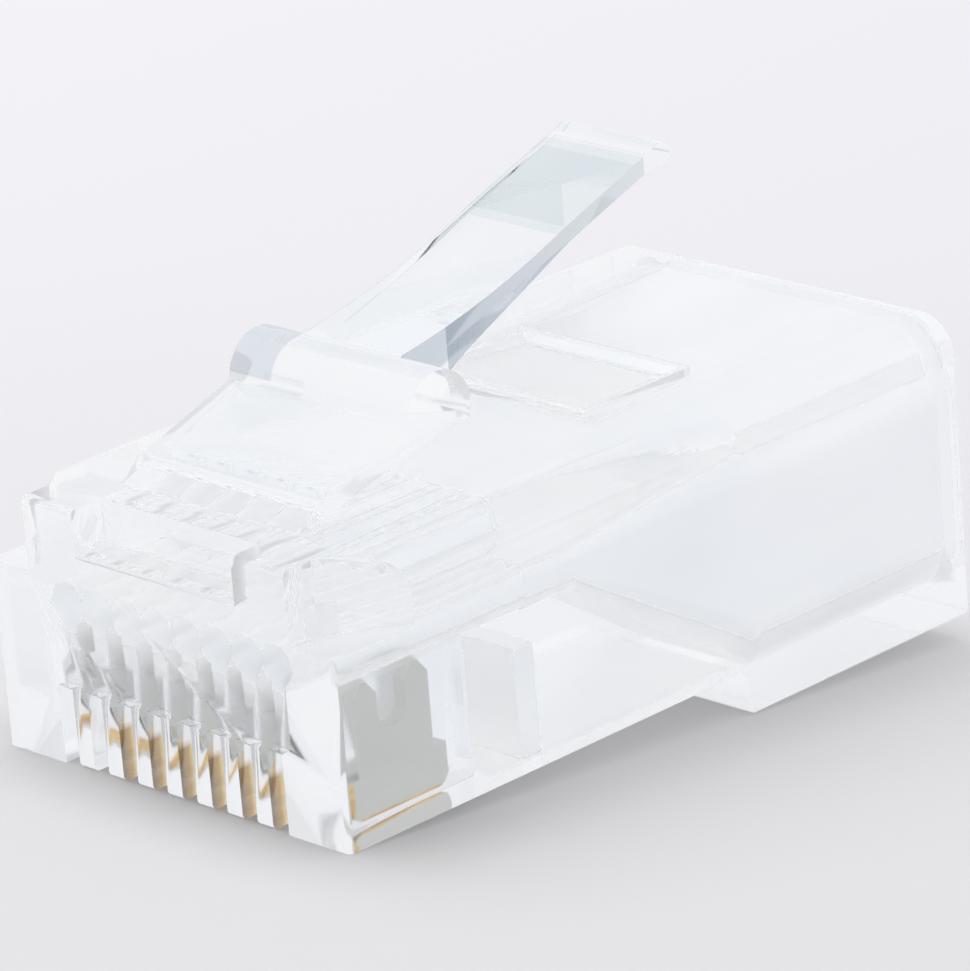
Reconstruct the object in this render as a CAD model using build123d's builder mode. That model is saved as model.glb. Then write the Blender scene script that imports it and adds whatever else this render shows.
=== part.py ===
from build123d import *
import os
from math import cos, radians, sin, tan

# Eight-position, eight-contact modular plug, uncrimped, sizes in millimetres.
# X runs across the plug, Y from the nose to the cable entry, Z up through the latch.
# The origin lies under the middle of the plug, on the surface that the cable end rests on.

# Housing outside
length = 21.46
width = 11.68
nose_height = 6.6
step_depth = 1.2          # the cable end reaches this far below the nose end
step_from_nose = 13.5
step_slant = 0.25
top_edge_radius = 1.0
corner_radius = 0.15

# Ledges beside the nose, where the upper half of the housing is narrower
ledge_height = 4.75
ledge_inset = 1.4
ledge_straight = 0.9
ledge_run = 2.6

# Contacts and the slots that hold them
contact_count = 8
contact_pitch = 1.016
blade_thickness = 0.35
blade_side_clearance = 0.075
blade_end_clearance = 1.15
blade_length = 3.1
blade_recess = 0.06
blade_foot_height = 1.1
blade_front_inset = 0.3
blade_rear_inset = 0.4
blade_body_height = 2.5
blade_corner_radius = 0.35
tine_count = 2
tine_notch = 0.9
tine_shoulder_height = 3.0
tine_tip_height = 3.45
crimp_travel = 0.55         # each blade is pressed this far up into its slot
fin_nose_radius = 0.15
slot_rear_clearance = 0.7
slot_mouth_clearance = 0.35
nose_wall = 0.7

# Conductor channels and the cable cavity behind them
channel_diameter = 1.04
channel_height = 4.02
comb_start = 7.0
comb_height = 1.15
comb_corner_radius = 0.52
funnel_start = 8.6
funnel_end = 14.4
side_wall = 1.15
floor_wall = 0.75
roof_wall = 1.15
cavity_corner_radius = 1.3
mouth_chamfer = 0.35

# Cored slot under the conductor channels, which keeps the moulding's walls even
core_slot_start = 6.3
core_slot_length = 0.65
core_slot_height = 2.75
core_slot_side_wall = 1.5

# Nose bridge that carries the latch, and the recess in front of it
recess_half_width = 2.7
recess_depth = 0.97
recess_sill_height = 5.4
bridge_chest_height = 5.75
bridge_chest_radius = 0.55
bridge_brow_from_nose = 2.5
bridge_brow_rise = 0.55      # above the roof, as are the latch's heights below

# Latch
latch_width = 6.02
lever_width = 3.25
hinge_from_nose = 3.0
hinge_rise = 0.35
knuckle_radius = 0.32
hinge_clearance = 0.05
latch_travel = 12.5         # degrees from rest down to the housing
latch_rest_margin = 1.0     # degrees left under the ramp when it is pressed down
web_half_thickness = 0.16
lug_from_nose = 6.6
lug_radius = 1.03
lug_rise = 1.5
shoulder_rise = 2.0
shoulder_from_nose = 7.45
lever_break_from_nose = 12.5
lever_break_rise = 4.1
lever_tip_from_nose = 16.25
lever_tip_rise = 5.3
lever_sag = 0.2             # the lever dips this far between the lugs and the break
lever_root_thickness = 1.07
lever_plate_thickness = 0.36
lever_heel_from_nose = 9.1
tip_radius = 0.3

# Strain relief bar in its window in the roof
window_from_nose = 11.4
window_length = 3.5
window_width = 5.6
bar_side_clearance = 0.15
bar_end_clearance = 0.2
bar_hinge_radius = 0.3
bar_hinge_clearance = 0.05
bar_root_thickness = 0.6
bar_heel_thickness = 1.35

# Levels and places worked out from the sizes above
nose = -length / 2
tail = length / 2
half_width = width / 2
belly = step_depth
roof = belly + nose_height
slot_width = blade_thickness + 2 * blade_side_clearance
slot_mouth_height = blade_foot_height + crimp_travel + slot_mouth_clearance
slot_length = blade_end_clearance + blade_length + slot_rear_clearance
contact_places = [(i - (contact_count - 1) / 2) * contact_pitch for i in range(contact_count)]
channel_level = belly + channel_height
channel_band = (contact_count - 1) * contact_pitch + channel_diameter
cavity_width = width - 2 * side_wall
cavity_height = roof - roof_wall - floor_wall
cavity_level = floor_wall + cavity_height / 2
hinge_y = nose + hinge_from_nose
hinge_z = roof + hinge_rise
bar_hinge_y = nose + window_from_nose + bar_hinge_radius + bar_hinge_clearance
bar_hinge_z = roof - bar_hinge_radius


def cross_section(distance_from_nose):
    """Plane across the plug that faces the nose, at a distance behind it."""
    return Plane.XZ.offset(-(nose + distance_from_nose))


def from_nose(distance, height):
    """Point of a side view, given from the nose face and above the nose end's underside."""
    return (nose + distance, belly + height)


def above_roof(distance, height):
    """Point of a side view, given from the nose face and above the roof."""
    return (nose + distance, roof + height)


with BuildPart() as housing:
    # Outer block: the side view runs the full width, the cable end is deeper than the nose end
    with BuildSketch(Plane.YZ) as side_view:
        with BuildLine():
            Polyline(
                from_nose(0, 0),
                from_nose(step_from_nose - step_slant, 0),
                from_nose(step_from_nose, -step_depth),
                (tail, 0),
                (tail, roof),
                (nose, roof),
                close=True,
            )
        make_face()
    extrude(amount=half_width, both=True)
    fillet(housing.edges().filter_by(Axis.Y).group_by(Axis.Z)[-1], top_edge_radius)
    fillet(housing.edges().filter_by(Axis.Z), corner_radius)
    fillet(housing.edges().filter_by(Axis.X).group_by(Axis.Z)[0], corner_radius)

    # Ledges: the upper corners of the nose are cut back on both sides
    with BuildSketch(Plane.XY.offset(belly + ledge_height)) as ledge_cut:
        with BuildLine():
            Polyline(
                (half_width - ledge_inset, nose),
                (half_width - ledge_inset, nose + ledge_straight),
                (half_width, nose + ledge_run),
                (width, nose + ledge_run),
                (width, nose),
                close=True,
            )
        make_face()
        mirror(about=Plane.YZ)
    extrude(amount=nose_height, mode=Mode.SUBTRACT)

    # Recess in the nose face below the latch, then the bridge whose rounded brow rises behind it
    with BuildSketch(Plane.XY.offset(belly + recess_sill_height)) as nose_recess:
        with Locations((0, nose)):
            Rectangle(2 * recess_half_width, 2 * recess_depth)
    extrude(amount=nose_height, mode=Mode.SUBTRACT)
    with BuildSketch(Plane.YZ) as bridge_side:
        with BuildLine():
            brow_front = FilletPolyline(
                from_nose(recess_depth, recess_sill_height),
                from_nose(recess_depth, bridge_chest_height),
                above_roof(bridge_brow_from_nose, bridge_brow_rise),
                radius=bridge_chest_radius,
            )
            Polyline(
                brow_front @ 1,
                (hinge_y, hinge_z + knuckle_radius),
                (hinge_y, roof - roof_wall),
                from_nose(recess_depth + nose_wall, recess_sill_height),
                brow_front @ 0,
            )
        make_face()
    extrude(amount=latch_width / 2, both=True)

    # Contact slots: open below and at the nose, closed in front higher up, open into the channels
    with BuildSketch(*[Plane.YZ.offset(x) for x in contact_places]) as slot_side:
        with BuildLine():
            Polyline(
                from_nose(-nose_wall, -step_depth),
                from_nose(slot_length, -step_depth),
                from_nose(slot_length, channel_height),
                from_nose(nose_wall, channel_height),
                from_nose(nose_wall, slot_mouth_height),
                from_nose(-nose_wall, slot_mouth_height),
                close=True,
            )
        make_face()
    extrude(amount=slot_width / 2, both=True, mode=Mode.SUBTRACT)

    # Rounded lower front corners of the fins between the slots
    with BuildSketch(Plane.YZ) as fin_corner:
        with BuildLine():
            fin_side = from_nose(0, fin_nose_radius)
            Line(from_nose(fin_nose_radius, 0), from_nose(0, 0))
            Line(from_nose(0, 0), fin_side)
            JernArc(fin_side, (0, -1), fin_nose_radius, 90)
        make_face()
    extrude(amount=(channel_band - channel_diameter + slot_width) / 2, both=True, mode=Mode.SUBTRACT)

    # Conductor channels, side by side, open into the comb behind them
    with BuildSketch(cross_section(comb_start)) as channel_ends:
        with Locations(*[(x, channel_level) for x in contact_places]):
            Circle(channel_diameter / 2)
    extrude(amount=comb_start - nose_wall, mode=Mode.SUBTRACT)
    with BuildSketch(cross_section(funnel_start)) as comb_end:
        with Locations((0, channel_level)):
            RectangleRounded(channel_band, comb_height, comb_corner_radius)
    extrude(amount=funnel_start - comb_start, mode=Mode.SUBTRACT)

    # Funnel from the comb to the cable cavity, and the cavity with its chamfered mouth
    with BuildSketch(cross_section(funnel_start)) as funnel_throat:
        with Locations((0, channel_level)):
            RectangleRounded(channel_band, comb_height, comb_corner_radius)
    with BuildSketch(cross_section(funnel_end)) as funnel_mouth:
        with Locations((0, cavity_level)):
            RectangleRounded(cavity_width, cavity_height, cavity_corner_radius)
    loft(mode=Mode.SUBTRACT)
    with BuildSketch(cross_section(length)) as cavity_end:
        with Locations((0, cavity_level)):
            RectangleRounded(cavity_width, cavity_height, cavity_corner_radius)
    extrude(amount=length - funnel_end, mode=Mode.SUBTRACT)
    mouth_edges = housing.faces().sort_by(Axis.Y)[-1].inner_wires()[0].edges()
    chamfer(mouth_edges, mouth_chamfer)

    # Cored slot across the underside
    with BuildSketch(Plane.XY.offset(belly)) as core_slot:
        with Locations((0, nose + core_slot_start + core_slot_length / 2)):
            Rectangle(width - 2 * core_slot_side_wall, core_slot_length)
    extrude(amount=core_slot_height, mode=Mode.SUBTRACT)

    # Window in the roof for the strain relief bar, with a round seat for the bar's hinge edge
    with BuildSketch(Plane.XY.offset(roof)) as window:
        with Locations((0, bar_hinge_y + window_length / 2)):
            Rectangle(window_width, window_length)
    extrude(amount=-(roof - cavity_level), mode=Mode.SUBTRACT)
    with BuildSketch(Plane.YZ) as bar_seat:
        with Locations((bar_hinge_y, bar_hinge_z)):
            Circle(bar_hinge_radius + bar_hinge_clearance)
    extrude(amount=window_width / 2, both=True, mode=Mode.SUBTRACT)

    # Round seat for the latch's hinge knuckle, in the back of the bridge and the roof
    with BuildSketch(Plane.YZ) as latch_seat:
        with Locations((hinge_y, hinge_z)):
            Circle(knuckle_radius + hinge_clearance)
    extrude(amount=latch_width / 2 + hinge_clearance, both=True, mode=Mode.SUBTRACT)
housing.part.label = "housing"


# Places on the latch's side view
underside = radians(latch_travel + latch_rest_margin)
web_bottom = (hinge_y + web_half_thickness * sin(underside), hinge_z - web_half_thickness * cos(underside))
shoulder_y = nose + shoulder_from_nose
shoulder_bottom = (shoulder_y, web_bottom[1] + (shoulder_y - web_bottom[0]) * tan(underside))
lug_centre = above_roof(lug_from_nose, lug_rise)
lever_top = above_roof(lever_break_from_nose, lever_break_rise)
lever_tip = above_roof(lever_tip_from_nose - tip_radius, lever_tip_rise - tip_radius)
lug_crest = (lug_centre[0], lug_centre[1] + lug_radius)
lever_slope = (lever_top[1] - lug_crest[1]) / (lever_top[0] - lug_crest[0])
lever_middle = ((lug_crest[0] + lever_top[0]) / 2, (lug_crest[1] + lever_top[1]) / 2 - lever_sag)
heel_y = nose + lever_heel_from_nose

with BuildPart() as latch:
    # Ramp of full width, from the thin web at the hinge up to the two locking lugs
    with BuildSketch(Plane.YZ) as ramp_side:
        with BuildLine():
            Polyline(
                (hinge_y, hinge_z + knuckle_radius),
                (lug_centre[0] - lug_radius, lug_centre[1]),
                lug_crest,
                (shoulder_y, roof + shoulder_rise),
                shoulder_bottom,
                web_bottom,
                close=True,
            )
        make_face()
        with Locations(lug_centre):
            Circle(lug_radius)
        with BuildLine():
            Polyline(web_bottom, shoulder_bottom, (shoulder_y, roof), (hinge_y, roof), close=True)
        make_face(mode=Mode.SUBTRACT)
        with Locations((hinge_y, hinge_z)):
            Circle(knuckle_radius)
    extrude(amount=latch_width / 2, both=True)

    # Lever: thick behind the lugs, thinning to a plate, then the steeper thumb pad and its bead
    with BuildSketch(Plane.YZ) as lever_side:
        with BuildLine():
            ThreePointArc(lug_crest, lever_middle, lever_top)
            Polyline(
                lever_top,
                (lever_tip[0], lever_tip[1] + tip_radius),
                (lever_tip[0], lever_tip[1] - tip_radius / 2),
                (lever_top[0] + lever_plate_thickness / 2, lever_top[1] - lever_plate_thickness),
                (heel_y, lever_top[1] - (lever_top[0] - heel_y) * lever_slope - lever_root_thickness),
                shoulder_bottom,
                lug_centre,
                lug_crest,
            )
        make_face()
        with Locations(lever_tip):
            Circle(tip_radius)
    extrude(amount=lever_width / 2, both=True)
latch.part.label = "latch"


# The bar's side view is a wedge that hangs from its hinge edge, level with the roof on top
bar_length = window_length - bar_end_clearance
bar_heel_y = bar_hinge_y + bar_length

with BuildPart() as strain_relief_bar:
    with BuildSketch(Plane.YZ) as bar_side:
        with BuildLine():
            Polyline(
                (bar_hinge_y, roof),
                (bar_heel_y, roof),
                (bar_heel_y, roof - bar_heel_thickness),
                (bar_hinge_y, roof - bar_root_thickness),
                close=True,
            )
        make_face()
        with Locations((bar_hinge_y, bar_hinge_z)):
            Circle(bar_hinge_radius)
    extrude(amount=window_width / 2 - bar_side_clearance, both=True)
strain_relief_bar.part.label = "strain_relief_bar"


def contact_blade(x):
    """One gold-plated blade: a foot that meets the jack's spring, a narrower body and two piercing tines."""
    blade_front = nose + blade_end_clearance
    blade_rear = blade_front + blade_length
    foot = belly + blade_recess
    foot_top = belly + blade_foot_height
    body_front = blade_front + blade_front_inset
    body_length = blade_length - blade_front_inset - blade_rear_inset
    body_top = belly + blade_body_height
    tine_width = (body_length - (tine_count - 1) * tine_notch) / tine_count
    with BuildPart() as blade:
        with BuildSketch(Plane.YZ.offset(x)) as blade_side:
            with BuildLine():
                Polyline(
                    (blade_front, foot),
                    (blade_rear, foot),
                    (blade_rear, foot_top),
                    (body_front + body_length, foot_top),
                    (body_front + body_length, body_top),
                    (body_front, body_top),
                    (body_front, foot_top),
                    (blade_front, foot_top),
                    close=True,
                )
            make_face()
            foot_corners = blade_side.vertices().group_by(Axis.Y)[0]
            fillet(foot_corners, blade_corner_radius)
            for tine in range(tine_count):
                tine_front = body_front + tine * (tine_width + tine_notch)
                tine_rear = tine_front + tine_width
                with BuildLine():
                    Polyline(
                        (tine_front, body_top),
                        (tine_rear, body_top),
                        (tine_rear, belly + tine_shoulder_height),
                        ((tine_front + tine_rear) / 2, belly + tine_tip_height),
                        (tine_front, belly + tine_shoulder_height),
                        close=True,
                    )
                make_face()
            for gap in range(1, tine_count):
                with Locations((body_front + gap * (tine_width + tine_notch) - tine_notch / 2, body_top)):
                    Circle(tine_notch / 2, mode=Mode.SUBTRACT)
        extrude(amount=blade_thickness / 2, both=True)
    return blade.part


os.makedirs("parts", exist_ok=True)
export_step(housing.part, "parts/housing.step")
export_step(latch.part, "parts/latch.step")
export_step(strain_relief_bar.part, "parts/strain_relief_bar.step")
for number, place in enumerate(contact_places, start=1):
    contact = contact_blade(place)
    contact.label = f"contact_{number}"
    export_step(contact, f"parts/contact_{number}.step")
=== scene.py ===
import math

import bmesh
import bpy
from mathutils import Matrix, Vector


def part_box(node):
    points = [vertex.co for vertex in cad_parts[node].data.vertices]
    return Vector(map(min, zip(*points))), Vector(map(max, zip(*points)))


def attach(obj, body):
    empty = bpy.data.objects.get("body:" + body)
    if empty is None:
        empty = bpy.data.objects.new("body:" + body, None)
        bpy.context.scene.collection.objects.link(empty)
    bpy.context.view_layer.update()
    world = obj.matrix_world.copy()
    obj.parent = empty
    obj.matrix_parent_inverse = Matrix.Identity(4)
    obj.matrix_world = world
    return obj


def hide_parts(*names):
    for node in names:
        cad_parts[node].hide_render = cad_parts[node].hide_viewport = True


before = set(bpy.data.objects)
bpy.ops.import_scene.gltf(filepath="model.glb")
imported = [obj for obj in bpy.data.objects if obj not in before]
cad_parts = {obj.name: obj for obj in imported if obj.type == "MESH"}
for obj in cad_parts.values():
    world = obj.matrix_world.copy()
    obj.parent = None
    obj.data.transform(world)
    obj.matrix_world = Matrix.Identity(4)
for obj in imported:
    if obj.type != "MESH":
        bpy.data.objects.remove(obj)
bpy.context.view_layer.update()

mm = 0.001
scene = bpy.context.scene


def srgb(hexCode, alpha=1.0):
    # hex colour as the eye reads it, turned to the linear values that Blender mixes
    values = [int(hexCode[i:i + 2], 16) / 255 for i in (1, 3, 5)]
    return [v / 12.92 if v <= 0.04045 else ((v + 0.055) / 1.055) ** 2.4 for v in values] + [alpha]


def addNode(tree, kind, settings=None, **inputs):
    # one node with its settings; an input is named, or numbered as in i0, and is a value or (node, output)
    node = tree.nodes.new(kind)
    for name, value in (settings or {}).items():
        setattr(node, name, value)
    for name, value in inputs.items():
        numbered = name[0] == "i" and name[1:].isdigit()
        socket = node.inputs[int(name[1:])] if numbered else node.inputs[name.replace("_", " ")]
        if isinstance(value, tuple) and isinstance(value[0], bpy.types.Node):
            tree.links.new(value[0].outputs[value[1]], socket)
        else:
            socket.default_value = value
    return node


def newMaterial(name):
    material = bpy.data.materials.new(name)
    material.use_nodes = True
    material.node_tree.nodes.clear()
    return material, material.node_tree


def setRamp(node, stops):
    ramp = node.color_ramp
    while len(ramp.elements) < len(stops):
        ramp.elements.new(0.5)
    for element, (place, colour) in zip(ramp.elements, stops):
        element.position = place
        element.color = colour


# Camera at the photograph's place
cameraLook = {
    "azimuth": 46.189,            # degrees to the right of the nose
    "elevation": 20.011,
    "roll": -4.694,               # the plug leans on its nose, so the frame is turned by this much
    "distance": 158.328,          # mm
    "lens": 243.78,               # mm
    "sensor": 36,                 # mm
    "target": (0.057, -0.03, 5.609),        # mm
    "nearest": 5,                 # mm, start of what the camera sees
}


def makeCamera(look):
    azimuth, elevation, roll = (math.radians(look[key]) for key in ("azimuth", "elevation", "roll"))
    level = math.cos(elevation)
    back = Vector((math.sin(azimuth) * level, -math.cos(azimuth) * level, math.sin(elevation)))
    right = (-back).cross(Vector((0, 0, 1))).normalized()
    up = right.cross(-back)
    turnedRight = right * math.cos(roll) + up * math.sin(roll)
    turnedUp = up * math.cos(roll) - right * math.sin(roll)
    data = bpy.data.cameras.new("photoCamera")
    data.lens = look["lens"]
    data.sensor_width = look["sensor"]
    data.clip_start = look["nearest"] * mm
    camera = bpy.data.objects.new("photoCamera", data)
    scene.collection.objects.link(camera)
    place = (Vector(look["target"]) + back * look["distance"]) * mm
    turn = Matrix((turnedRight, turnedUp, back)).transposed().to_4x4()
    camera.matrix_world = Matrix.Translation(place) @ turn
    scene.camera = camera


makeCamera(cameraLook)
print("camera placed")


# Floor and light
studioLook = {
    "stepBehindOrigin": 2.77,     # mm, where the cable end's front edge meets the floor
    "lean": 5.08,                 # degrees, the plug rests on its nose edge and that step
    "floorSize": 1600,            # mm
    "floorNear": "#E2E2E3",       # pale grey near the camera
    "floorFar": "#E8E7EC",        # a touch lighter and cooler away from it
    "fadeAlong": (-0.7216, 0.6923, 0),
    "fadeFrom": -28,              # mm in that direction
    "fadeTo": 43,
    "contactReach": 3.0,          # mm, painted contact shadow: the paper's colour darkens close to where the plug touches it
    "contactShade": 0.62,
    "contactRays": 3,
    "glowThrough": 0.75,          # painted light: how far the paper glows in the backdrop's colour when seen through the plastic, in place of its shade
    "skyLow": "#F9FAFC",
    "skyMiddle": "#FBFCFD",
    "skyHigh": "#FFFFFF",
    "skyStops": (0.0, 0.3, 0.7),
    "skyStrength": 0.7,           # of the light on matt surfaces; in and through the plastic it is 1
    "lampPower": 1.3,             # W
    "lampPlace": (-0.32, 0.04, 0.42),       # m
    "lampSize": (0.3, 0.3),       # m
}


def makeFloor(look):
    mesh = bmesh.new()
    bmesh.ops.create_grid(mesh, x_segments=1, y_segments=1, size=look["floorSize"] * mm / 2)
    tilt = Matrix.Rotation(-math.radians(look["lean"]), 4, "X")
    shift = Matrix.Translation((0, look["stepBehindOrigin"] * mm, 0))
    bmesh.ops.transform(mesh, matrix=shift @ tilt, verts=mesh.verts)
    data = bpy.data.meshes.new("floor")
    mesh.to_mesh(data)
    mesh.free()
    floor = bpy.data.objects.new("floor", data)
    scene.collection.objects.link(floor)

    # uncoated paper, which scatters light evenly and has no gloss
    material, tree = newMaterial("Matt paper sweep")
    place = addNode(tree, "ShaderNodeTexCoord")
    along = addNode(
        tree, "ShaderNodeVectorMath", {"operation": "DOT_PRODUCT"},
        i0=(place, "Object"), i1=look["fadeAlong"],
    )
    span = addNode(
        tree, "ShaderNodeMapRange", None,
        Value=(along, "Value"), From_Min=look["fadeFrom"] * mm, From_Max=look["fadeTo"] * mm,
    )
    colour = addNode(tree, "ShaderNodeValToRGB", None, Fac=(span, "Result"))
    setRamp(colour, [(0.0, srgb(look["floorNear"])), (1.0, srgb(look["floorFar"]))])
    # painted contact shadow: ambient occlusion darkens the paper's colour close to the plug
    near = addNode(
        tree, "ShaderNodeAmbientOcclusion", {"samples": look["contactRays"]},
        Distance=look["contactReach"] * mm,
    )
    contact = addNode(
        tree, "ShaderNodeMapRange", None, Value=(near, "AO"), To_Min=look["contactShade"], To_Max=1.0,
    )
    paper = addNode(
        tree, "ShaderNodeMix", {"data_type": "RGBA", "blend_type": "MULTIPLY"},
        i0=1.0, i6=(colour, "Color"), i7=(contact, "Result"),
    )
    surface = addNode(tree, "ShaderNodeBsdfDiffuse", None, Color=(paper, 2))
    # painted light: seen through the plastic, the paper glows in the backdrop's pale colour instead of
    # showing its shade
    rays = addNode(tree, "ShaderNodeLightPath")
    share = addNode(
        tree, "ShaderNodeMath", {"operation": "MULTIPLY"},
        i0=(rays, "Is Transmission Ray"), i1=look["glowThrough"],
    )
    pale = addNode(tree, "ShaderNodeEmission", None, Color=srgb(look["skyLow"]), Strength=1.0)
    seen = addNode(
        tree, "ShaderNodeMixShader", None, i0=(share, 0), i1=(surface, "BSDF"), i2=(pale, "Emission"),
    )
    addNode(tree, "ShaderNodeOutputMaterial", None, Surface=(seen, "Shader"))
    material.cycles.emission_sampling = "NONE"      # the paper's painted glow is not sampled as a lamp
    floor.data.materials.append(material)


def makeLight(look):
    world = bpy.data.worlds.new("studio")
    world.use_nodes = True
    scene.world = world
    tree = world.node_tree
    tree.nodes.clear()
    place = addNode(tree, "ShaderNodeTexCoord")
    parts = addNode(tree, "ShaderNodeSeparateXYZ", None, Vector=(place, "Generated"))
    height = addNode(tree, "ShaderNodeValToRGB", None, Fac=(parts, "Z"))
    skyColours = [srgb(look[key]) for key in ("skyLow", "skyMiddle", "skyHigh")]
    setRamp(height, list(zip(look["skyStops"], skyColours)))
    rays = addNode(tree, "ShaderNodeLightPath")
    level = addNode(
        tree, "ShaderNodeMapRange", None,
        Value=(rays, "Is Diffuse Ray"), To_Min=1.0, To_Max=look["skyStrength"],
    )
    light = addNode(tree, "ShaderNodeBackground", None, Color=(height, "Color"), Strength=(level, "Result"))
    shown = addNode(tree, "ShaderNodeBackground", None, Color=srgb(look["skyLow"]), Strength=1.0)
    mixed = addNode(
        tree, "ShaderNodeMixShader", None,
        i0=(rays, "Is Camera Ray"), i1=(light, "Background"), i2=(shown, "Background"),
    )
    addNode(tree, "ShaderNodeOutputWorld", None, Surface=(mixed, "Shader"))

    lamp = bpy.data.lights.new("softbox", "AREA")
    lamp.shape = "RECTANGLE"
    lamp.size, lamp.size_y = look["lampSize"]
    lamp.energy = look["lampPower"]
    box = bpy.data.objects.new("softbox", lamp)
    scene.collection.objects.link(box)
    spot = Vector(look["lampPlace"])
    box.visible_glossy = False                      # the sweep alone is mirrored, without a hard patch
    box.visible_transmission = False
    box.matrix_world = Matrix.Translation(spot) @ spot.to_track_quat("Z", "Y").to_matrix().to_4x4()


makeFloor(studioLook)
makeLight(studioLook)
print("floor and light made")


# Clear plastic of the housing, the latch and the bar
plasticLook = {
    "clear": "#FBFCFD",
    "tint": "#F2F4F7",
    "ior": 1.585,                 # polycarbonate
    "roughness": (0.04, 0.1),
    "noseRoughness": 0.08,        # added at the nose face, where the mould is spark eroded
    "noseFrom": -9.9,             # mm, along the plug
    "noseTo": -10.6,
    "mattBoxes": (                # mm, walls shaped by core pins, which leave a matt skin
        ((-4.75, -10.2, 4.6), (4.75, -5.6, 6.72)),      # conductor channels
        ((-3.7, -10.2, 2.9), (3.7, -5.6, 4.7)),         # slots' upper halves, not the outer wall
        ((-4.75, -5.6, 0.7), (4.75, 10.9, 6.72)),       # comb, funnel and cable cavity
        ((-2.9, 0.6, 6.0), (2.9, 4.3, 7.78)),           # window of the strain relief bar
    ),
    "mattRoughness": 0.25,
    "mattClear": 0.9,             # share of the light that the matt skin lets through unscattered
    "flowLength": 3.0,            # mm, slow streaks left by the melt as it filled the mould
    "flowStretch": 0.35,          # the streaks are longer along the plug
    "flowDetail": 2.0,
    "flowHeight": 0.02,           # mm
    "flowBump": 0.1,              # share of that height that shows
    "tintStops": (0.3, 0.7),
    "turns": 3.5,                 # light is followed this far, then the plastic glows in a painted white instead
    "mirrorTurns": 1.5,           # the same for reflections alone
    # painted light: the white that the plastic glows in at the end of a long path
    "glowWhite": "#F6F7F9",
    "shadow": "#EFEEED",          # light let through by each surface on its way to the floor
}

# Painted shade on the latch: its flanks, the left lug and the thumb pad are darkened in colour, standing in
# for the darker room that the thin latch shows there
latchShadeLook = {
    "flankShadeNear": "#A3AEBA",        # painted shade on the lever's flanks, close to the lugs
    "flankShadeFar": "#D3D9DE",         # and at the tip
    "sides": ((-9, -2.4, 0), (9, 4.6, 20)),         # mm, two corners of a box, as in the other boxes
    "sideTurned": 0.9,            # a face counts as a flank from here, where 1 looks straight across
    "lug": "#D3DAE2",             # painted shade on the left lug, where it stands out beside the lever
    "lugBox": ((-9, -20, 9.5), (-1.6, 20, 20)),
    # painted shade on the thumb pad
    "pad": "#E9F0F1",
    "padBox": ((-9, 1.8, 0), (9, 4.6, 20)),
}

# Painted reflection and shade: the slot walls beside the blades' feet are tinted with the blades' gold,
# darkest brown at the nose face
finReflectionLook = {
    "shades": ("#6A5C4C", "#A87B48", "#F2CE8A"),        # painted shade to painted gold reflection, from the nose face inwards
    "stops": (0.0, 0.5, 0.85),
    "walls": ((-2.5, -11, 0), (3.4, -10.2, 5)),     # mm, without the first wall, which stays in shade
    "front": -10.66,              # mm, along the plug
    "back": -10.2,
    "top": 2.65,                  # mm, up
    "fade": 0.2,
    "wallTurned": 0.8,            # a face counts as a wall from here, as for the flanks
}


def insideBoxes(tree, place, boxes):
    # 1 inside any of the boxes, whose corners are in millimetres, and 0 outside them
    inside = None
    for low, high in boxes:
        middle = [(a + b) / 2 * mm for a, b in zip(low, high)]
        half = [(b - a) / 2 * mm for a, b in zip(low, high)]
        offset = addNode(
            tree, "ShaderNodeVectorMath", {"operation": "SUBTRACT"}, i0=(place, "Object"), i1=middle,
        )
        distance = addNode(tree, "ShaderNodeVectorMath", {"operation": "ABSOLUTE"}, i0=(offset, "Vector"))
        share = addNode(
            tree, "ShaderNodeVectorMath", {"operation": "DIVIDE"}, i0=(distance, "Vector"), i1=half,
        )
        parts = addNode(tree, "ShaderNodeSeparateXYZ", None, Vector=(share, "Vector"))
        longest = addNode(tree, "ShaderNodeMath", {"operation": "MAXIMUM"}, i0=(parts, "X"), i1=(parts, "Y"))
        longest = addNode(tree, "ShaderNodeMath", {"operation": "MAXIMUM"}, i0=(longest, 0), i1=(parts, "Z"))
        within = addNode(tree, "ShaderNodeMath", {"operation": "LESS_THAN"}, i0=(longest, 0), i1=1.0)
        inside = within if inside is None else addNode(
            tree, "ShaderNodeMath", {"operation": "MAXIMUM"}, i0=(inside, 0), i1=(within, 0),
        )
    return inside


def facingAcross(tree, limit):
    # 1 on faces that look across the plug, to either side, with the node that tells the back of a face
    face = addNode(tree, "ShaderNodeNewGeometry")
    parts = addNode(tree, "ShaderNodeSeparateXYZ", None, Vector=(face, "True Normal"))
    turned = addNode(tree, "ShaderNodeMath", {"operation": "ABSOLUTE"}, i0=(parts, "X"))
    across = addNode(tree, "ShaderNodeMath", {"operation": "GREATER_THAN"}, i0=(turned, 0), i1=limit)
    return across, face


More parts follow.
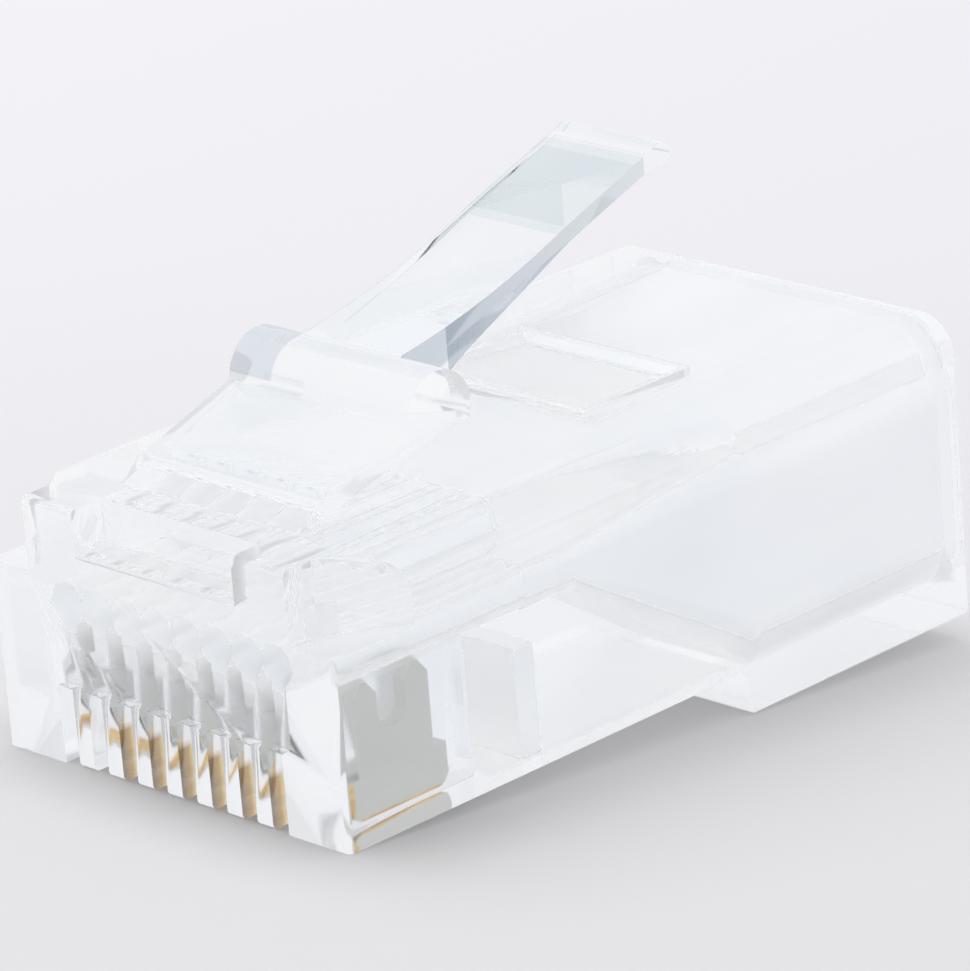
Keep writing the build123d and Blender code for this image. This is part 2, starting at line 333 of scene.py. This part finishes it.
def shadeLatch(tree, colour, place, look):
    # painted shade: multiplies the plastic's colour darker on the lever's flanks, the left lug and the thumb
    # pad
    onFlank = facingAcross(tree, look["sideTurned"])[0]
    offFlank = addNode(tree, "ShaderNodeMath", {"operation": "SUBTRACT"}, i0=1.0, i1=(onFlank, 0))
    parts = addNode(tree, "ShaderNodeSeparateXYZ", None, Vector=(place, "Object"))
    low, high = look["sides"]
    alongLever = addNode(
        tree, "ShaderNodeMapRange", None, Value=(parts, "Y"), From_Min=low[1] * mm, From_Max=high[1] * mm,
    )
    flankShade = addNode(tree, "ShaderNodeValToRGB", None, Fac=(alongLever, "Result"))
    setRamp(flankShade, [(0.0, srgb(look["flankShadeNear"])), (1.0, srgb(look["flankShadeFar"]))])
    shades = (
        (look["sides"], onFlank, (flankShade, "Color")),
        (look["lugBox"], offFlank, srgb(look["lug"])),
        (look["padBox"], offFlank, srgb(look["pad"])),
    )
    for box, faces, shade in shades:
        inside = insideBoxes(tree, place, (box,))
        part = addNode(tree, "ShaderNodeMath", {"operation": "MULTIPLY"}, i0=(inside, 0), i1=(faces, 0))
        mixed = addNode(
            tree, "ShaderNodeMix", {"data_type": "RGBA", "blend_type": "MULTIPLY"},
            i0=(part, 0), i6=colour, i7=shade,
        )
        colour = (mixed, 2)
    return colour


def paintFinReflection(tree, colour, place, look):
    # painted gold reflection and shade: multiplies the plastic's colour where light enters the slot walls,
    # low and close to the nose
    onWall, face = facingAcross(tree, look["wallTurned"])
    entering = addNode(tree, "ShaderNodeMath", {"operation": "SUBTRACT"}, i0=1.0, i1=(face, "Backfacing"))
    parts = addNode(tree, "ShaderNodeSeparateXYZ", None, Vector=(place, "Object"))
    top = look["top"] * mm
    share = addNode(
        tree, "ShaderNodeMapRange", None,
        Value=(parts, "Z"), From_Min=top, From_Max=top - look["fade"] * mm,
    )
    for limit in (onWall, entering, insideBoxes(tree, place, (look["walls"],))):
        share = addNode(tree, "ShaderNodeMath", {"operation": "MULTIPLY"}, i0=(share, 0), i1=(limit, 0))
    depth = addNode(
        tree, "ShaderNodeMapRange", None,
        Value=(parts, "Y"), From_Min=look["front"] * mm, From_Max=look["back"] * mm,
    )
    shade = addNode(tree, "ShaderNodeValToRGB", None, Fac=(depth, "Result"))
    setRamp(shade, [(stop, srgb(code)) for stop, code in zip(look["stops"], look["shades"])])
    mixed = addNode(
        tree, "ShaderNodeMix", {"data_type": "RGBA", "blend_type": "MULTIPLY"},
        i0=(share, 0), i6=colour, i7=(shade, "Color"),
    )
    return (mixed, 2)


def clearPlastic(name, look, shadeBy, shadeLook):
    # injection moulded polycarbonate: clear and glossy outside, slightly wavy where the melt flowed
    material, tree = newMaterial(name)
    place = addNode(tree, "ShaderNodeTexCoord")
    flow = addNode(
        tree, "ShaderNodeMapping", None, Vector=(place, "Object"), Scale=(1.0, look["flowStretch"], 1.0),
    )
    streaks = addNode(
        tree, "ShaderNodeTexNoise", None,
        Vector=(flow, "Vector"), Scale=1 / (look["flowLength"] * mm), Detail=look["flowDetail"],
    )
    tinted = addNode(tree, "ShaderNodeValToRGB", None, Fac=(streaks, "Fac"))
    setRamp(tinted, list(zip(look["tintStops"], (srgb(look["tint"]), srgb(look["clear"])))))
    # multiplies in painted shade on the latch, and painted gold reflection and shade on the slot walls
    colour = shadeBy(tree, (tinted, "Color"), place, shadeLook)

    # glossy outside, a little duller at the nose face, and matt where core pins shaped the walls
    low, high = look["roughness"]
    rough = addNode(tree, "ShaderNodeMapRange", None, Value=(streaks, "Fac"), To_Min=low, To_Max=high)
    parts = addNode(tree, "ShaderNodeSeparateXYZ", None, Vector=(place, "Object"))
    atNose = addNode(
        tree, "ShaderNodeMapRange", None, Value=(parts, "Y"),
        From_Min=look["noseFrom"] * mm, From_Max=look["noseTo"] * mm, To_Max=look["noseRoughness"],
    )
    outside = addNode(
        tree, "ShaderNodeMath", {"operation": "ADD"}, i0=(rough, "Result"), i1=(atNose, "Result"),
    )
    inside = insideBoxes(tree, place, look["mattBoxes"])
    skin = addNode(
        tree, "ShaderNodeMath", {"operation": "MULTIPLY_ADD"},
        i0=(inside, 0), i1=look["mattRoughness"], i2=(outside, 0),
    )
    clearness = addNode(
        tree, "ShaderNodeMapRange", None, Value=(inside, 0), To_Min=1.0, To_Max=look["mattClear"],
    )
    bump = addNode(
        tree, "ShaderNodeBump", None,
        Height=(streaks, "Fac"), Strength=look["flowBump"], Distance=look["flowHeight"] * mm,
    )
    surface = addNode(
        tree, "ShaderNodeBsdfPrincipled", None,
        Base_Color=colour, Roughness=(skin, 0), Normal=(bump, "Normal"),
        IOR=look["ior"], Transmission_Weight=(clearness, "Result"),
    )

    # painted light: where light has turned many times inside the clear walls, the plastic glows in a plain
    # white in place of what that path would bring
    path = addNode(tree, "ShaderNodeLightPath")
    longPath = addNode(
        tree, "ShaderNodeMath", {"operation": "GREATER_THAN"}, i0=(path, "Ray Depth"), i1=look["turns"],
    )
    manyMirrors = addNode(
        tree, "ShaderNodeMath", {"operation": "GREATER_THAN"},
        i0=(path, "Glossy Depth"), i1=look["mirrorTurns"],
    )
    spent = addNode(tree, "ShaderNodeMath", {"operation": "MAXIMUM"}, i0=(longPath, 0), i1=(manyMirrors, 0))
    white = addNode(tree, "ShaderNodeEmission", None, Color=srgb(look["glowWhite"]), Strength=1.0)
    whole = addNode(
        tree, "ShaderNodeMixShader", None, i0=(spent, 0), i1=(surface, "BSDF"), i2=(white, "Emission"),
    )
    passing = addNode(tree, "ShaderNodeBsdfTransparent", None, Color=srgb(look["shadow"]))
    cast = addNode(
        tree, "ShaderNodeMixShader", None,
        i0=(path, "Is Shadow Ray"), i1=(whole, "Shader"), i2=(passing, "BSDF"),
    )
    addNode(tree, "ShaderNodeOutputMaterial", None, Surface=(cast, "Shader"))
    material.cycles.emission_sampling = "NONE"      # its painted glow is not sampled as a lamp
    return material


polycarbonate = clearPlastic("Moulded clear polycarbonate", plasticLook, paintFinReflection, finReflectionLook)
shadedLatchPolycarbonate = clearPlastic(
    "Moulded clear polycarbonate, latch with painted shade", plasticLook, shadeLatch, latchShadeLook,
)


# Plating of the blades
goldLook = {
    "gold": "#E8C47C",
    "worn": "#C59A55",
    "nickel": "#CBCBC6",
    "goldStops": (0.35, 0.6),
    "plated": 0.05,               # mm, how far the gold reaches up from the foot
    "frontPlated": 3.0,           # times as far in from the front edge
    "lastPlated": 2.0,            # the same on the last blade, which was dipped less deep
    "lastFrom": 3.3,              # mm across
    "fade": 0.04,                 # mm
    "footHeight": 1.0,            # mm, no gold above it
    "strip": 0.25,                # mm, width of one rolling streak
    "stretch": 0.25,              # the streaks are longer along the blade
    "streakDetail": 4.0,
    "roughness": (0.24, 0.42),
}


def goldPlate(look, edgeFront, edgeLow):
    # stamped phosphor bronze, nickel plated all over, with a gold band along the edge that the jack's
    # springs touch; the rolled strip leaves fine streaks in its gloss
    material, tree = newMaterial("Gold and nickel plated phosphor bronze")
    place = addNode(tree, "ShaderNodeTexCoord")
    parts = addNode(tree, "ShaderNodeSeparateXYZ", None, Vector=(place, "Object"))
    depth = addNode(tree, "ShaderNodeMath", {"operation": "SUBTRACT"}, i0=(parts, "Y"), i1=edgeFront)
    isLast = addNode(
        tree, "ShaderNodeMath", {"operation": "GREATER_THAN"}, i0=(parts, "X"), i1=look["lastFrom"] * mm,
    )
    reach = addNode(
        tree, "ShaderNodeMapRange", None,
        Value=(isLast, 0), To_Min=look["frontPlated"], To_Max=look["lastPlated"],
    )
    inFromFront = addNode(
        tree, "ShaderNodeMath", {"operation": "DIVIDE"}, i0=(depth, 0), i1=(reach, "Result"),
    )
    upFromFoot = addNode(tree, "ShaderNodeMath", {"operation": "SUBTRACT"}, i0=(parts, "Z"), i1=edgeLow)
    inFromEdge = addNode(
        tree, "ShaderNodeMath", {"operation": "MINIMUM"}, i0=(inFromFront, 0), i1=(upFromFoot, 0),
    )
    flow = addNode(
        tree, "ShaderNodeMapping", None, Vector=(place, "Object"), Scale=(1.0, look["stretch"], 1.0),
    )
    streaks = addNode(
        tree, "ShaderNodeTexNoise", None,
        Vector=(flow, "Vector"), Scale=1 / (look["strip"] * mm), Detail=look["streakDetail"],
    )
    ragged = addNode(
        tree, "ShaderNodeMath", {"operation": "MULTIPLY_ADD"},
        i0=(streaks, "Fac"), i1=look["fade"] * mm, i2=(inFromEdge, 0),
    )
    start = look["plated"] * mm
    inward = addNode(
        tree, "ShaderNodeMapRange", None,
        Value=(ragged, 0), From_Min=start, From_Max=start + look["fade"] * mm,
    )
    top = look["footHeight"] * mm
    upward = addNode(
        tree, "ShaderNodeMapRange", None,
        Value=(upFromFoot, 0), From_Min=top - look["fade"] * mm, From_Max=top,
    )
    bare = addNode(
        tree, "ShaderNodeMath", {"operation": "MAXIMUM"}, i0=(inward, "Result"), i1=(upward, "Result"),
    )
    gold = addNode(tree, "ShaderNodeValToRGB", None, Fac=(streaks, "Fac"))
    setRamp(gold, list(zip(look["goldStops"], (srgb(look["worn"]), srgb(look["gold"])))))
    colour = addNode(
        tree, "ShaderNodeMix", {"data_type": "RGBA"},
        i0=(bare, 0), i6=(gold, "Color"), i7=srgb(look["nickel"]),
    )
    low, high = look["roughness"]
    rough = addNode(tree, "ShaderNodeMapRange", None, Value=(streaks, "Fac"), To_Min=low, To_Max=high)
    surface = addNode(
        tree, "ShaderNodeBsdfPrincipled", None,
        Base_Color=(colour, 2), Roughness=(rough, "Result"), Metallic=1.0,
    )
    addNode(tree, "ShaderNodeOutputMaterial", None, Surface=(surface, "BSDF"))
    return material


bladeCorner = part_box("contact_1")[0]
platedBronze = goldPlate(goldLook, bladeCorner.y, bladeCorner.z)
print("materials made")


# Clear mouldings, with the small edge radii that the mould leaves
mouldingLook = {
    "edgeRadius": 0.05,           # mm
    "edgeSegments": 2,
    "sharpFrom": 28,              # degrees between faces, from which an edge is rounded
    "roomNeeded": 0.12,           # mm, shortest neighbour beside an edge that is rounded
    "mergeWithin": 0.001,         # mm, for joining the CAD mesh's loose triangles
    "flatWithin": 0.4,            # degrees
    "flatWeight": 100,            # how firmly large faces stay flat to the light
    "cutWithin": 0.0001,          # mm
    "lugTrim": ((0, -3.28, 8.84), 13.5),      # mm and degrees, the pressed lugs stop short of the roof
    "barRelief": (1.25, 7.2),     # mm, a step beside the hinge edge, so that the bar folds clear of its seat
    "pieces": {"clearHousing": "housing", "clearLatch": "latch", "clearBar": "strain_relief_bar"},
    "bodies": {"clearHousing": "plug", "clearLatch": "latch_lever", "clearBar": "cable_clamp"},
    "slots": {"clearHousing": "clear_housing", "clearLatch": "clear_latch", "clearBar": "clear_bar"},
}


def cutAcross(mesh, look, point, normal, **settings):
    # the points and edges where a plane cuts the mesh
    geometry = mesh.verts[:] + mesh.edges[:] + mesh.faces[:]
    cut = bmesh.ops.bisect_plane(
        mesh, geom=geometry, dist=look["cutWithin"] * mm, plane_co=point, plane_no=normal, **settings,
    )
    return cut["geom_cut"]


def trimLugs(mesh, look):
    # cuts the lugs' lowest corner along the line that the ramp's underside follows
    point, slope = look["lugTrim"]
    across = Vector((0, math.sin(math.radians(slope)), -math.cos(math.radians(slope))))
    cut = cutAcross(mesh, look, Vector(point) * mm, across, clear_outer=True)
    bmesh.ops.holes_fill(mesh, edges=[part for part in cut if isinstance(part, bmesh.types.BMEdge)])


def relieveBar(mesh, look):
    # one more row of points across the bar, lifted where the underside leaves the hinge edge
    along, level = look["barRelief"]
    for part in cutAcross(mesh, look, (0, along * mm, 0), (0, 1, 0)):
        if isinstance(part, bmesh.types.BMVert) and part.co.z < level * mm:
            part.co.z = level * mm


def markEdges(mesh, look):
    # every edge with room beside it gets its small radius, the tight ones stay crisp
    rounded = mesh.edges.layers.float.new("bevel_weight_edge")
    room = look["roomNeeded"] * mm
    count = 0
    for edge in mesh.edges:
        if edge.calc_face_angle(0) > math.radians(look["sharpFrom"]):
            roomy = min(beside.calc_length() for corner in edge.verts for beside in corner.link_edges) > room
            edge[rounded] = 1.0 if roomy else 0.0
            edge.smooth = roomy
            count += roomy
    return count


def makeMoulding(name, look, material):
    mesh = bmesh.new()
    mesh.from_mesh(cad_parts[look["pieces"][name]].data)
    bmesh.ops.remove_doubles(mesh, verts=mesh.verts, dist=look["mergeWithin"] * mm)
    bmesh.ops.dissolve_limit(
        mesh, angle_limit=math.radians(look["flatWithin"]),
        verts=mesh.verts, edges=mesh.edges, delimit={"NORMAL"},
    )
    if name == "clearLatch":
        trimLugs(mesh, look)
    if name == "clearBar":
        relieveBar(mesh, look)
    for face in mesh.faces:
        face.smooth = True
    print(name, "has", markEdges(mesh, look), "rounded edges")
    data = bpy.data.meshes.new(name)
    mesh.to_mesh(data)
    mesh.free()
    data.materials.append(material)
    piece = bpy.data.objects.new(name, data)
    scene.collection.objects.link(piece)
    bevel = piece.modifiers.new("mouldEdges", "BEVEL")
    bevel.width = look["edgeRadius"] * mm
    bevel.segments = look["edgeSegments"]
    bevel.limit_method = "WEIGHT"
    bevel.use_clamp_overlap = True
    flat = piece.modifiers.new("flatFaces", "WEIGHTED_NORMAL")
    flat.mode = "FACE_AREA"
    flat.weight = look["flatWeight"]
    flat.keep_sharp = True
    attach(piece, look["bodies"][name])
    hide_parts(look["pieces"][name])
    print(name, "has", len(data.vertices), "points")


for mouldingName in mouldingLook["pieces"]:
    clearMaterial = shadedLatchPolycarbonate if mouldingName == "clearLatch" else polycarbonate
    makeMoulding(mouldingName, mouldingLook, clearMaterial)


# Contacts keep their CAD shape
contactCount = 8
for number in range(1, contactCount + 1):
    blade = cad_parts[f"contact_{number}"]
    blade.data.materials.clear()
    blade.data.materials.append(platedBronze)
print("contacts dressed")


scene.view_settings.view_transform = "Standard"
print("scene ready")
